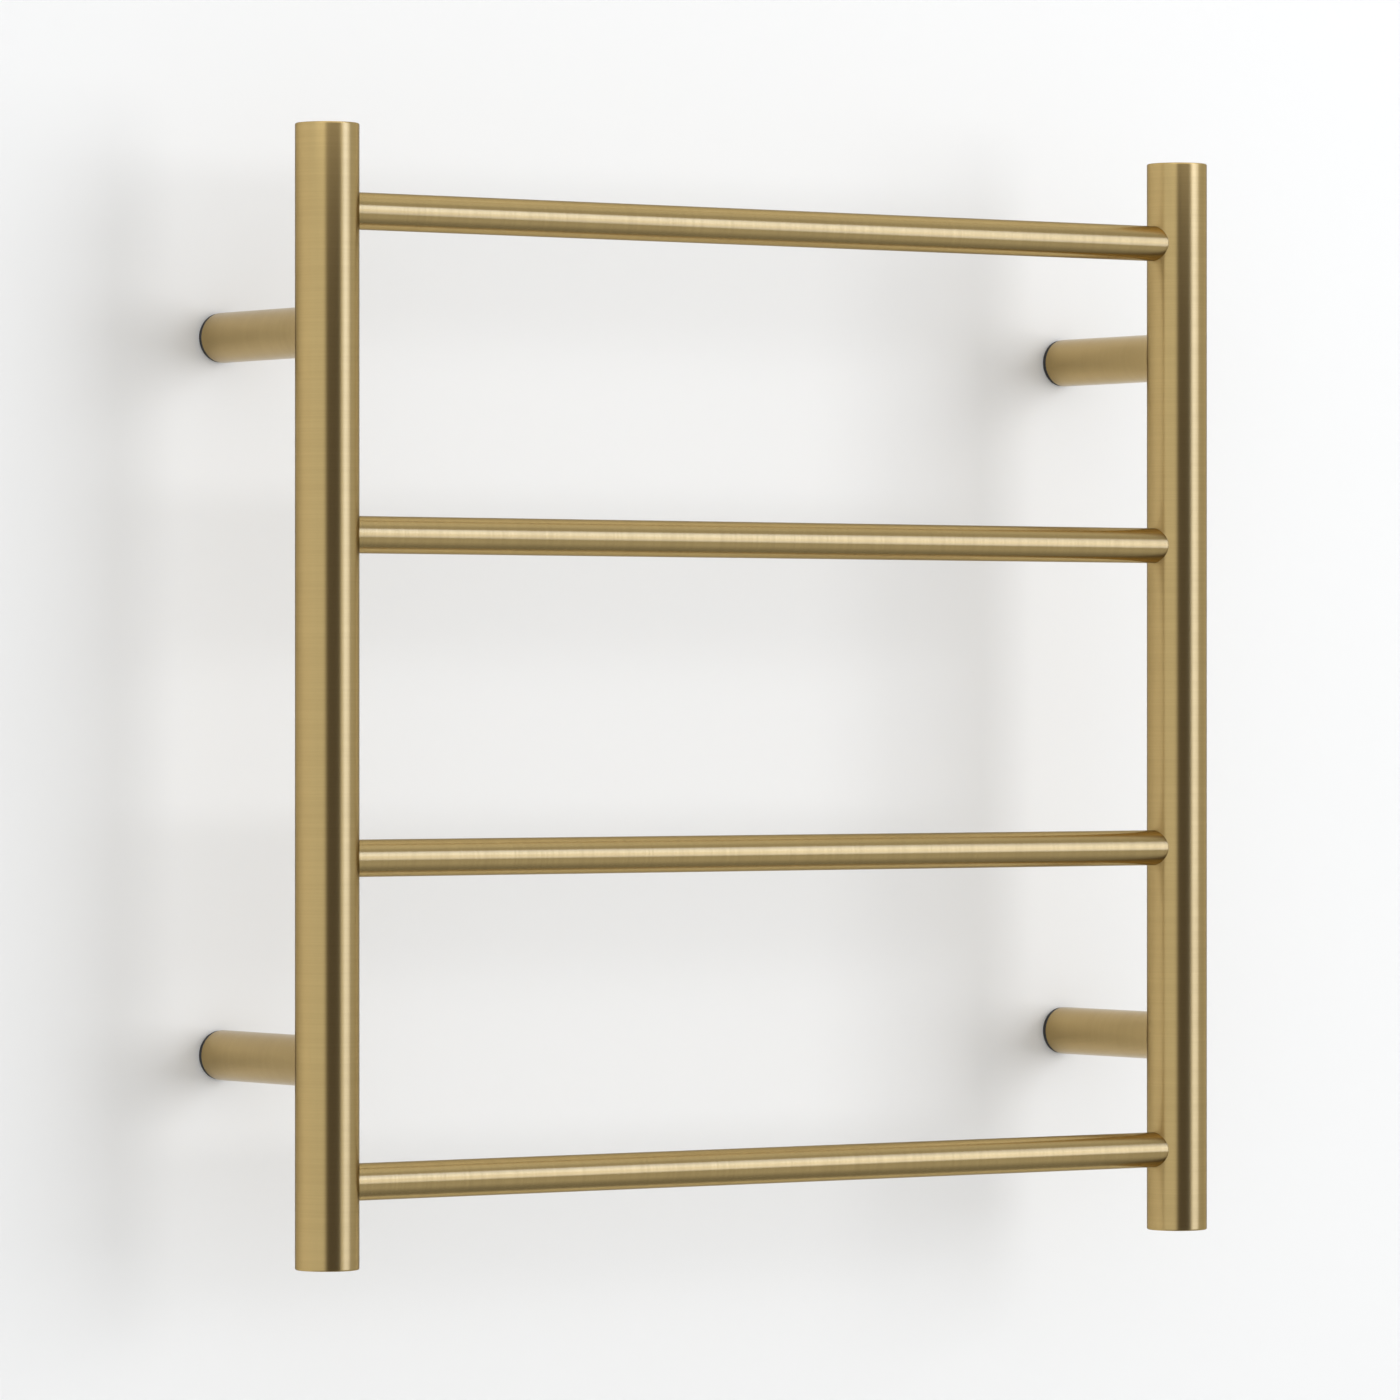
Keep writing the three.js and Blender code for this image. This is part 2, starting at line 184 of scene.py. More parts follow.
# The room as the metal mirrors it, in degrees to the right of the rack's front: the edges of its dark
# gap, and where its right-hand side is dimmed.
GAP_LEFT, GAP_RIGHT = (-47, -29), (22, 14)
DIMMED, DIMMED_BY = (46, 58), 0.66
world = bpy.data.worlds.new("studio")
world.use_nodes = True
bpy.context.scene.world = world
tree = world.node_tree
tree.nodes.clear()
way = node(tree, "ShaderNodeTexCoord", -900, 0)
parts = node(tree, "ShaderNodeSeparateXYZ", -700, 0)
behind = node(tree, "ShaderNodeMath", -520, 160, operation="MULTIPLY")
behind.inputs[1].default_value = -1
azimuth = node(tree, "ShaderNodeMath", -340, 160, operation="ARCTAN2")


def fade(degrees, x, y):
    """Rises from 0 to 1 as the direction turns from the first of two azimuths to the second."""
    ranged = node(tree, "ShaderNodeMapRange", x, y, interpolation_type="SMOOTHSTEP")
    ranged.inputs["From Min"].default_value = math.radians(degrees[0])
    ranged.inputs["From Max"].default_value = math.radians(degrees[1])
    joined(tree, (azimuth.outputs[0], ranged.inputs["Value"]))
    return ranged


from_left = fade(GAP_LEFT, -160, 260)
from_right = fade(GAP_RIGHT, -160, 0)
gap = node(tree, "ShaderNodeMath", 40, 160, operation="MULTIPLY")
height01 = node(tree, "ShaderNodeMapRange", -340, -300)
height01.inputs["From Min"].default_value = -1
height01.inputs["From Max"].default_value = 1


def toned(ramp, tint, stops):
    """Sets a colour ramp to (height, grey) stops in a tint, where height is the sine of the elevation."""
    while len(ramp.elements) > 1:
        ramp.elements.remove(ramp.elements[-1])
    for i, (height, grey) in enumerate(stops):
        stop = ramp.elements[0] if i == 0 else ramp.elements.new((height + 1) / 2)
        stop.position = (height + 1) / 2
        stop.color = (grey * tint[0], grey * tint[1], grey * tint[2], 1)


room = node(tree, "ShaderNodeValToRGB", -100, -260)
toned(room.color_ramp, (0.97, 1, 1.02), [
    (-1, 0.4), (-0.8, 0.45), (-0.55, 0.72), (-0.15, 0.66), (0, 1.1), (0.3, 1.2), (0.5, 0.62), (0.7, 0.64),
    (0.8, 1.25), (1, 1.25)])
dark = node(tree, "ShaderNodeValToRGB", -100, -520)
toned(dark.color_ramp, (1.06, 1, 1), [(-1, 0.13), (-0.3, 0.09), (0.3, 0.1), (0.6, 0.25), (0.85, 0.5), (1, 0.84)])
to_right = fade(DIMMED, -160, 520)
dimmer = node(tree, "ShaderNodeMix", 140, -260, data_type="RGBA", blend_type="MULTIPLY")
dimmer.inputs["B"].default_value = (DIMMED_BY, DIMMED_BY, DIMMED_BY, 1)
mixed = node(tree, "ShaderNodeMix", 260, 0, data_type="RGBA")
mirrored = node(tree, "ShaderNodeBackground", 460, 0)
even = node(tree, "ShaderNodeBackground", 460, -200)
even.inputs["Color"].default_value = (AMBIENT, AMBIENT, AMBIENT, 1)
path = node(tree, "ShaderNodeLightPath", 460, 300)
either = node(tree, "ShaderNodeMixShader", 660, 0)
out = node(tree, "ShaderNodeOutputWorld", 860, 0)
joined(tree, (way.outputs["Generated"], parts.inputs[0]), (parts.outputs["Y"], behind.inputs[0]),
       (parts.outputs["X"], azimuth.inputs[0]), (behind.outputs[0], azimuth.inputs[1]),
       (from_left.outputs[0], gap.inputs[0]), (from_right.outputs[0], gap.inputs[1]),
       (parts.outputs["Z"], height01.inputs["Value"]), (height01.outputs[0], room.inputs[0]),
       (height01.outputs[0], dark.inputs[0]), (gap.outputs[0], mixed.inputs["Factor"]),
       (to_right.outputs[0], dimmer.inputs["Factor"]), (room.outputs[0], dimmer.inputs["A"]),
       (dimmer.outputs["Result"], mixed.inputs["A"]), (dark.outputs[0], mixed.inputs["B"]),
       (mixed.outputs["Result"], mirrored.inputs[0]), (path.outputs["Is Glossy Ray"], either.inputs[0]),
       (even.outputs[0], either.inputs[1]), (mirrored.outputs[0], either.inputs[2]),
       (either.outputs[0], out.inputs[0]))

# ---------------------------------------------------------------------------------------------------
# Uprights. Two stainless tubes with a brass-coloured coating, brushed round and round, so that a
# light is drawn out along them and stays sharp across them. Their rims are rounded over, and each
# has a hole for every bar in its inner wall and one for each post's bush in its back wall.
# ---------------------------------------------------------------------------------------------------
BRASS_LIGHT = (0.56, 0.404, 0.173, 1)
BRASS_DEEP = (0.53, 0.38, 0.161, 1)
BRASS_PULL = 0.85  # how far the brush marks draw a highlight out
BRUSH_PITCH = 0.7 * MM
BRUSH_RUN = 60 * MM
SHEEN_DRIFT = 0.012  # how far the roughness drifts from streak to streak

streaks = bpy.data.node_groups.new("brush_streaks", "ShaderNodeTree")
streaks.interface.new_socket("Vector", in_out="INPUT", socket_type="NodeSocketVector")
fine_share = streaks.interface.new_socket("Fine Share", in_out="INPUT", socket_type="NodeSocketFloat")
fine_share.default_value = 0.6
streaks.interface.new_socket("Streak", in_out="OUTPUT", socket_type="NodeSocketFloat")
given = node(streaks, "NodeGroupInput", -600, 0)
fine = node(streaks, "ShaderNodeTexNoise", -300, 200)
fine.inputs["Scale"].default_value = 1
fine.inputs["Detail"].default_value = 2
fine.inputs["Roughness"].default_value = 0.5
broad = node(streaks, "ShaderNodeTexNoise", -300, -100)
broad.inputs["Scale"].default_value = 0.17
broad.inputs["Detail"].default_value = 2
both = node(streaks, "ShaderNodeMix", 0, 0)
evened = node(streaks, "ShaderNodeMapRange", 200, 0, interpolation_type="SMOOTHSTEP")
evened.inputs["From Min"].default_value = 0.33
evened.inputs["From Max"].default_value = 0.67
handed = node(streaks, "NodeGroupOutput", 400, 0)
joined(streaks, (given.outputs["Vector"], fine.inputs["Vector"]),
       (given.outputs["Vector"], broad.inputs["Vector"]), (given.outputs["Fine Share"], both.inputs["Factor"]),
       (broad.outputs[0], both.inputs["A"]), (fine.outputs[0], both.inputs["B"]),
       (both.outputs["Result"], evened.inputs["Value"]), (evened.outputs[0], handed.inputs["Streak"]))


def streaked_metal(material_name, axis, light, deep, roughness, pull, pitch, run, rim=1):
    """Metal brushed round the given axis: streaks a pitch apart along it and a run long round it.

    The pull is its anisotropy. A rim below 1 dulls it where the surface is seen edge-on.
    """
    material, tree, out = bare_material(material_name)
    metal = node(tree, "ShaderNodeBsdfPrincipled", 300, 0)
    metal.inputs["Metallic"].default_value = 1
    metal.inputs["Anisotropic"].default_value = pull
    metal.inputs["Anisotropic Rotation"].default_value = 0.25
    metal.inputs["Specular Tint"].default_value = (rim, rim, rim, 1)
    where = node(tree, "ShaderNodeTexCoord", -900, 0)
    stretch = node(tree, "ShaderNodeMapping", -700, 0)
    stretch.inputs["Scale"].default_value = [1 / pitch if a == axis else 1 / run for a in "XYZ"]
    grain = node(tree, "ShaderNodeGroup", -450, 0, node_tree=streaks)
    tone = node(tree, "ShaderNodeMix", -100, 200, data_type="RGBA")
    tone.inputs["A"].default_value = deep
    tone.inputs["B"].default_value = light
    sheen = node(tree, "ShaderNodeMapRange", -100, -50)
    sheen.inputs["To Min"].default_value = roughness + SHEEN_DRIFT
    sheen.inputs["To Max"].default_value = roughness - SHEEN_DRIFT
    furrow = node(tree, "ShaderNodeBump", -100, -350)
    furrow.inputs["Strength"].default_value = 0.03
    furrow.inputs["Distance"].default_value = 0.01 * MM
    along = node(tree, "ShaderNodeTangent", -100, -600, direction_type="RADIAL", axis=axis)
    joined(tree, (where.outputs["Object"], stretch.inputs[0]), (stretch.outputs[0], grain.inputs["Vector"]),
           (grain.outputs["Streak"], tone.inputs["Factor"]), (grain.outputs["Streak"], sheen.inputs["Value"]),
           (grain.outputs["Streak"], furrow.inputs["Height"]),
           (tone.outputs["Result"], metal.inputs["Base Color"]), (sheen.outputs[0], metal.inputs["Roughness"]),
           (furrow.outputs[0], metal.inputs["Normal"]), (along.outputs[0], metal.inputs["Tangent"]),
           (metal.outputs[0], out.inputs[0]))
    return material


def brushed_brass(axis, roughness, shade=1, rim=0.42):
    """The brass finish, brushed round the axis. A shade below 1 darkens its colour as painted shade."""
    light, deep = ([*(shade * c for c in tone[:3]), 1] for tone in (BRASS_LIGHT, BRASS_DEEP))
    return streaked_metal(f"brushed_brass_{axis.lower()}", axis, light, deep, roughness, BRASS_PULL,
                          BRUSH_PITCH, BRUSH_RUN, rim)


TURNS = {"X": Matrix(((0, 0, 1), (1, 0, 0), (0, 1, 0))), "Y": Matrix(((0, 1, 0), (0, 0, 1), (1, 0, 0))),
         "Z": Matrix.Identity(3)}


def finished(piece_name, shape, sharp=None):
    """The piece made from a bmesh, smooth all over but for edges sharper than that many degrees."""
    bmesh.ops.recalc_face_normals(shape, faces=shape.faces)
    mesh = bpy.data.meshes.new(piece_name)
    shape.to_mesh(mesh)
    shape.free()
    if sharp:
        mesh.shade_smooth()
        mesh.set_sharp_from_angle(angle=math.radians(sharp))
    return placed(piece_name, mesh)


def turned(piece_name, profile, axis, centre, around=128, sharp=35, groove=None):
    """A piece turned about an axis line from (radius, along) points in millimetres.

    A profile that starts off the axis closes on itself, and so makes a ring or a tube. A groove gives
    the depth to cut at a place along the axis and a share of a turn.
    """
    shape = bmesh.new()
    turn, origin = TURNS[axis], Vector(centre)
    rings = []
    for radius, along in profile:
        if radius < 1e-6:
            rings.append([shape.verts.new(origin + turn @ Vector((0, 0, along * MM)))])
            continue
        ring = []
        for k in range(around):
            angle = math.tau * k / around
            reach = radius - (groove(along, k / around) if groove else 0)
            spot = Vector((reach * math.cos(angle), reach * math.sin(angle), along)) * MM
            ring.append(shape.verts.new(origin + turn @ spot))
        rings.append(ring)
    if profile[0][0] > 1e-6:
        rings.append(rings[0])
    for low, high in zip(rings, rings[1:]):
        for k in range(around):
            n = (k + 1) % around
            corners = {len(low) > 1 and low[k] or low[0]: 0, len(low) > 1 and low[n] or low[0]: 0,
                       len(high) > 1 and high[n] or high[0]: 0, len(high) > 1 and high[k] or high[0]: 0}
            if len(corners) > 2:
                shape.faces.new(list(corners))
    return finished(piece_name, shape, sharp)


def rounded(radius, along, round_off, start, steps=6):
    """(radius, along) points of a quarter round about a corner, from that many degrees."""
    return [(radius + round_off * math.cos(math.radians(start + 90 * i / steps)),
             along + round_off * math.sin(math.radians(start + 90 * i / steps))) for i in range(steps + 1)]


def carved(piece, cutters, operation="DIFFERENCE", sharp=35):
    """The piece with each cutter taken out of it; the cutters are used up."""
    for cutter in cutters:
        step = piece.modifiers.new("carve", "BOOLEAN")
        step.operation, step.solver, step.object = operation, "EXACT", cutter
    seen = piece.evaluated_get(bpy.context.evaluated_depsgraph_get())
    mesh = bpy.data.meshes.new_from_object(seen)
    piece.modifiers.clear()
    piece.data = mesh
    for cutter in cutters:
        bpy.data.objects.remove(cutter)
    mesh.shade_smooth()
    mesh.set_sharp_from_angle(angle=math.radians(sharp))


ROUND_TOLERANCE = 0.02 * MM
ROUND_FACING = 0.97  # how squarely a face has to look away from the axis


def true_round(piece, axis, centre, radii):
    """Gives faces that lie on cylinders about the axis the normals of the true cylinder."""
    mesh, a, origin = piece.data, "XYZ".index(axis), Vector(centre)
    normals = [Vector(n.vector) for n in mesh.corner_normals]
    for face in mesh.polygons:
        outward = face.center - origin
        outward[a] = 0
        if outward.length < 1e-9 or abs(face.normal.dot(outward.normalized())) < ROUND_FACING:
            continue
        side = 1 if face.normal.dot(outward) > 0 else -1
        rays = []
        for loop in face.loop_indices:
            ray = mesh.vertices[mesh.loops[loop].vertex_index].co - origin
            ray[a] = 0
            rays.append((loop, ray))
        if all(any(abs(ray.length - r * MM) < ROUND_TOLERANCE for r in radii) for _, ray in rays):
            for loop, ray in rays:
                normals[loop] = ray.normalized() * side
    mesh.normals_split_custom_set(normals)


def fitted(piece, body, cad_nodes, material):
    """The piece takes its material, rides on its body and stands for its CAD nodes."""
    piece.data.materials.clear()
    piece.data.materials.append(material)
    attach(piece, body)
    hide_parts(*cad_nodes)


def middle(cad_node):
    """The middle of a CAD node's box, in metres."""
    low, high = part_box(cad_node)
    return (Vector(low) + Vector(high)) / 2


def extent(cad_node):
    """The size of a CAD node's box, in millimetres."""
    low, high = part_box(cad_node)
    return (Vector(high) - Vector(low)) / MM


SIDES = {"left": 1, "right": -1}
BARS = ["towel_bar_1", "towel_bar_2", "towel_bar_3", "towel_bar_4"]
UPRIGHT_WALL = 1.5
UPRIGHT_EDGE = 0.8
FIT = 0.05  # the hairline that is left round a tube where it enters another
REACH = 20  # how far a cutter reaches past what it cuts

upright_radius = extent("left_upright").x / 2
upright_half = extent("left_upright").z / 2
bar_radius = extent("towel_bar_1").z / 2
brass_z = brushed_brass("Z", 0.31)
for side, inward in SIDES.items():
    axis_at = middle(f"{side}_upright")
    inner = upright_radius - UPRIGHT_WALL
    tube = turned(f"{side}_upright_tube", [
        (inner, -upright_half),
        *rounded(upright_radius - UPRIGHT_EDGE, -upright_half + UPRIGHT_EDGE, UPRIGHT_EDGE, -90),
        *rounded(upright_radius - UPRIGHT_EDGE, upright_half - UPRIGHT_EDGE, UPRIGHT_EDGE, 0),
        (inner, upright_half)], "Z", axis_at, around=192)
    bore, through = bar_radius + FIT, inward * REACH
    holes = [turned("hole", [(0, 0), (bore, 0), (bore, through), (0, through)], "X",
                    (axis_at.x, axis_at.y, middle(bar).z), around=96) for bar in BARS]
    bush = extent(f"{side}_upper_bush").x / 2 + FIT
    holes += [turned("hole", [(0, 0), (bush, 0), (bush, REACH), (0, REACH)], "Y",
                     (axis_at.x, axis_at.y, middle(f"{side}_{level}_bush").z), around=64)
              for level in ("upper", "lower")]
    carved(tube, holes)
    true_round(tube, "Z", axis_at, (upright_radius, inner))
    fitted(tube, "rack", [f"{side}_upright"], brass_z)
    lit_by_glow.objects.link(tube)

# ---------------------------------------------------------------------------------------------------
# End caps. A pressed plug in each end of an upright, flush with the rim and polished with it, so that
# only a hairline shows round it.
# ---------------------------------------------------------------------------------------------------
CAP_PLATE, CAP_SKIRT_WALL, CAP_EDGE = 2, 1.5, 0.12
for side in SIDES:
    for end, up in (("top", 1), ("bottom", -1)):
        cad_cap = f"{side}_{end}_cap"
        low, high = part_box(cad_cap)
        face_at = (high if up > 0 else low)[2]
        radius = upright_radius - UPRIGHT_WALL - FIT / 2
        depth = extent(cad_cap).z
        plug = turned(f"{side}_{end}_plug", [
            (0, -up * CAP_PLATE), (radius - CAP_SKIRT_WALL, -up * CAP_PLATE),
            (radius - CAP_SKIRT_WALL, -up * depth), (radius, -up * depth), (radius, -up * CAP_EDGE),
            (radius - CAP_EDGE * 0.3, -up * CAP_EDGE * 0.3), (radius - CAP_EDGE, 0), (0, 0)],
            "Z", (middle(cad_cap).x, middle(cad_cap).y, face_at), around=96)
        fitted(plug, "rack", [cad_cap], brass_z)

# ---------------------------------------------------------------------------------------------------
# Towel bars. Four lengths of thinner tube in the same finish, brushed round their own axes, whose ends
# go through the inner walls of the uprights and are welded from inside.
# ---------------------------------------------------------------------------------------------------
BAR_WALL = 1.2
brass_x = brushed_brass("X", 0.25)
for bar in BARS:
    half = extent(bar).x / 2
    rung = turned(f"{bar}_tube", [
        (bar_radius - BAR_WALL, -half), (bar_radius, -half), (bar_radius, half), (bar_radius - BAR_WALL, half)],
        "X", middle(bar), around=128)
    fitted(rung, "rack", [bar], brass_x)

# ---------------------------------------------------------------------------------------------------
# Posts. Thick tube, one end hollowed out to sit on the back of the upright and closed by a web that
# its nipple goes through, the other open to go over the boss on the wall.
# ---------------------------------------------------------------------------------------------------
CORNERS = ["left_upper", "left_lower", "right_upper", "right_lower"]
POST_BORE, POST_WEB, POST_EDGE = 17.5, 5, 0.5
POST_SEAT = 0.06  # the hairline between a post and its upright
GRUB_HOLE = 2.08
# The posts' brass is darkened as painted shade, standing in for the shadowed wall that the posts mirror.
painted_shade_brass_y = brushed_brass("Y", 0.2, shade=0.83, rim=1)
for corner in CORNERS:
    cad_post = f"{corner}_post"
    low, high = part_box(cad_post)
    at, radius = middle(cad_post), extent(cad_post).x / 2
    wall_end = high[1] / MM
    rack_axis = middle("left_upright").y / MM
    hollow = upright_radius + POST_SEAT
    web_at = rack_axis + hollow + POST_WEB
    nipple = extent(f"{corner}_nipple").x / 2 + FIT
    centre = Vector((at.x, 0, at.z))
    post = turned(f"{corner}_post_tube", [
        (nipple, rack_axis), (nipple, web_at), (POST_BORE / 2, web_at), (POST_BORE / 2, wall_end),
        *reversed(rounded(radius - POST_EDGE, wall_end - POST_EDGE, POST_EDGE, 0)),
        (radius, rack_axis)], "Y", centre, around=128)
    seat = turned("seat", [(0, -REACH), (hollow, -REACH), (hollow, REACH), (0, REACH)], "Z",
                  (at.x, rack_axis * MM, at.z), around=192)
    grub_at = middle(f"{corner}_grub_screw")
    drilled = turned("drilled", [(0, -REACH), (GRUB_HOLE, -REACH), (GRUB_HOLE, 0), (0, 0)], "Z",
                     (at.x, grub_at.y, at.z), around=48)
    carved(post, [seat, drilled])
    true_round(post, "Y", centre, (radius, POST_BORE / 2))
    fitted(post, "rack", [cad_post], painted_shade_brass_y)

# ---------------------------------------------------------------------------------------------------
# Bushes. Turned steel rings, tapped M10 and welded into the back wall of each upright, where the
# posts pull up against it.
# ---------------------------------------------------------------------------------------------------
THREAD_PITCH = 1
THREAD_DEPTH = 0.54


def run_of(cad_node, axis):
    """Where the CAD node starts and ends along an axis, in millimetres."""
    low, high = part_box(cad_node)
    a = "XYZ".index(axis)
    return low[a] / MM, high[a] / MM


def axis_line(corner):
    """The point on the wall that a corner's post, bush, nipple and nut all point at."""
    at = middle(f"{corner}_nipple")
    return Vector((at.x, 0, at.z))


def between(start, end, steps):
    """Evenly spaced places from start to end."""
    return [start + (end - start) * i / steps for i in range(steps + 1)]


def screw_thread(start, end, pitch, depth, steepness=2):
    """A right-hand thread from start to end, which runs out at both."""
    def groove(along, turn_share):
        inside = min(along - start, end - along)
        if inside <= 0:
            return 0
        across = (along / pitch - turn_share) % 1
        return depth * min(1, steepness * min(across, 1 - across)) * min(1, inside / pitch)
    return groove


turned_steel = streaked_metal("turned_steel", "Y", (0.62, 0.61, 0.59, 1), (0.5, 0.49, 0.475, 1), 0.33, 0.5,
                              0.12 * MM, 25 * MM)
nipple_radius = extent("left_upper_nipple").x / 2
BUSH_CHAMFER = 0.6
for corner in CORNERS:
    front, back = run_of(f"{corner}_bush", "Y")
    outer, tapped = extent(f"{corner}_bush").x / 2, nipple_radius + FIT
    ring = turned(f"{corner}_bush_ring", [
        (tapped, front + BUSH_CHAMFER), (tapped + BUSH_CHAMFER, front), (outer - BUSH_CHAMFER / 2, front),
        (outer, front + BUSH_CHAMFER / 2), (outer, back - BUSH_CHAMFER / 2), (outer - BUSH_CHAMFER / 2, back),
        (tapped + BUSH_CHAMFER, back), (tapped, back - BUSH_CHAMFER)], "Y", axis_line(corner), around=96)
    fitted(ring, "rack", [f"{corner}_bush"], turned_steel)

# ---------------------------------------------------------------------------------------------------
# Nipples. Hollow M10 studs of turned steel, screwed into the bushes and through the posts' webs. The
# supply lead leaves through the lower left one.
# ---------------------------------------------------------------------------------------------------
NIPPLE_BORE, NIPPLE_CHAMFER, MOUTH_CHAMFER = 7.2, 0.7, 0.3
for corner in CORNERS:
    front, back = run_of(f"{corner}_nipple", "Y")
    threaded = [(nipple_radius, y) for y in between(
        front + NIPPLE_CHAMFER, back - NIPPLE_CHAMFER, round(8 * (back - front) / THREAD_PITCH))]
    stud = turned(f"{corner}_nipple_stud", [
        (NIPPLE_BORE / 2, back - MOUTH_CHAMFER), (NIPPLE_BORE / 2, front + MOUTH_CHAMFER),
        (NIPPLE_BORE / 2 + MOUTH_CHAMFER, front), (nipple_radius - NIPPLE_CHAMFER, front), *threaded,
        (nipple_radius - NIPPLE_CHAMFER, back), (NIPPLE_BORE / 2 + MOUTH_CHAMFER, back)],
        "Y", axis_line(corner), around=72,
        groove=screw_thread(front + NIPPLE_CHAMFER, back - NIPPLE_CHAMFER, THREAD_PITCH, THREAD_DEPTH))
    fitted(stud, "rack", [f"{corner}_nipple"], turned_steel)

# ---------------------------------------------------------------------------------------------------
# Nuts, lock washers and the earth tag. Zinc-plated steel: a chamfered hexagon nut on each nipple, and
# under it a split washer, or at the lower left a tag whose tab turns back along the nut.
# ---------------------------------------------------------------------------------------------------


def skinned(shape, rows):
    """Joins rows of points into one closed skin, with a face over each end."""
    count = len(rows[0])
    for low, high in zip(rows, rows[1:]):
        for k in range(count):
            n = (k + 1) % count
            shape.faces.new((low[k], low[n], high[n], high[k]))
    shape.faces.new(rows[0])
    shape.faces.new(rows[-1])


def lofted(piece_name, rings, centre=(0, 0, 0)):
    """A closed block through rings of corners in millimetres, each with the same number of them."""
    shape = bmesh.new()
    skinned(shape, [[shape.verts.new(Vector(centre) + Vector(spot) * MM) for spot in ring] for ring in rings])
    return finished(piece_name, shape)


def hexagon(across_flats, axis, along):
    """The six corners of a hexagon that lies square to the axis, at a place along it."""
    point = across_flats / math.sqrt(3)
    turns = [math.radians(60 * k) for k in range(6)]
    return [TURNS[axis] @ Vector((point * math.cos(a), point * math.sin(a), along)) for a in turns]


PLATING_DRIFT = 0.12  # how far the roughness drifts from patch to patch


def plated_metal(material_name, light, deep, roughness, patch):
    """Plated steel, whose colour and shine drift in patches of the given size."""
    material, tree, out = bare_material(material_name)
    metal = node(tree, "ShaderNodeBsdfPrincipled", 300, 0)
    metal.inputs["Metallic"].default_value = 1
    where = node(tree, "ShaderNodeTexCoord", -700, 0)
    cloud = node(tree, "ShaderNodeTexNoise", -450, 100)
    cloud.inputs["Scale"].default_value = 1 / patch
    cloud.inputs["Detail"].default_value = 4
    grit = node(tree, "ShaderNodeTexNoise", -450, -250)
    grit.inputs["Scale"].default_value = 12 / patch
    tone = node(tree, "ShaderNodeMix", -100, 200, data_type="RGBA")
    tone.inputs["A"].default_value = deep
    tone.inputs["B"].default_value = light
    shine = node(tree, "ShaderNodeMapRange", -100, -50)
    shine.inputs["To Min"].default_value = roughness + PLATING_DRIFT
    shine.inputs["To Max"].default_value = roughness - PLATING_DRIFT
    pitted = node(tree, "ShaderNodeBump", -100, -350)
    pitted.inputs["Strength"].default_value = 0.2
    pitted.inputs["Distance"].default_value = 0.02 * MM
    joined(tree, (where.outputs["Object"], cloud.inputs["Vector"]),
           (where.outputs["Object"], grit.inputs["Vector"]), (cloud.outputs[0], tone.inputs["Factor"]),
           (cloud.outputs[0], shine.inputs["Value"]), (grit.outputs[0], pitted.inputs["Height"]),
           (tone.outputs["Result"], metal.inputs["Base Color"]),
           (shine.outputs[0], metal.inputs["Roughness"]), (pitted.outputs[0], metal.inputs["Normal"]),
           (metal.outputs[0], out.inputs[0]))
    return material


zinc = plated_metal("zinc_plated_steel", (0.66, 0.66, 0.68, 1), (0.5, 0.5, 0.49, 1), 0.34, 4 * MM)
NUT_FLATS = 14
NUT_CROWN = 6.65  # radius of the flat ring that the chamfer leaves on each face
NUT_COUNTERSINK = 0.6
for corner in CORNERS:
    front, back = run_of(f"{corner}_nut", "Y")
    at, point, hole = axis_line(corner), NUT_FLATS / math.sqrt(3), nipple_radius + FIT
    slope = (point - NUT_CROWN) * math.tan(math.radians(30))
    nut = lofted(f"{corner}_hexagon_nut", [hexagon(NUT_FLATS, "Y", front), hexagon(NUT_FLATS, "Y", back)], at)
    crown = turned("crown", [
        (0, front), (NUT_CROWN, front), (point, front + slope), (point + 1, front + slope),
        (point + 1, back - slope), (point, back - slope), (NUT_CROWN, back), (0, back)], "Y", at, around=96)
    carved(nut, [crown], "INTERSECT", sharp=20)
    tapped = turned("tapped", [
        (0, front - 1), (hole + NUT_COUNTERSINK + 1, front - 1), (hole, front + NUT_COUNTERSINK),
        (hole, back - NUT_COUNTERSINK), (hole + NUT_COUNTERSINK + 1, back + 1), (0, back + 1)],
        "Y", at, around=96)
    carved(nut, [tapped], sharp=20)
    fitted(nut, "rack", [f"{corner}_nut"], zinc)

WASHER_EDGE, WASHER_RADIUS = 0.15, 8
WASHER_SPLIT, WASHER_SLANT = 0.7, 0.5


def washer_ring(piece_name, front, back, at):
    """A flat ring with softened edges that fits over a nipple."""
    hole, edge = nipple_radius + FIT, WASHER_EDGE
    return turned(piece_name, [
        (hole, front + edge), (hole + edge, front), (WASHER_RADIUS - edge, front), (WASHER_RADIUS, front + edge),
        (WASHER_RADIUS, back - edge), (WASHER_RADIUS - edge, back), (hole + edge, back), (hole, back - edge)],
        "Y", at, around=96)


for corner in CORNERS:
    cad_washer = f"{corner}_washer"
    if cad_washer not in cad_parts:
        continue
    front, back = run_of(cad_washer, "Y")
    ring = washer_ring(f"{corner}_split_washer", front, back, axis_line(corner))
    half, lean = WASHER_SPLIT / 2, WASHER_SLANT
    slit = [(front - 1, -lean - half), (front - 1, half - lean), (back + 1, lean + half), (back + 1, lean - half)]
    split = lofted("split", [[(x, y, z) for y, z in slit] for x in (3, WASHER_RADIUS + 1)], axis_line(corner))
    carved(ring, [split], sharp=30)
    fitted(ring, "rack", [cad_washer], zinc)

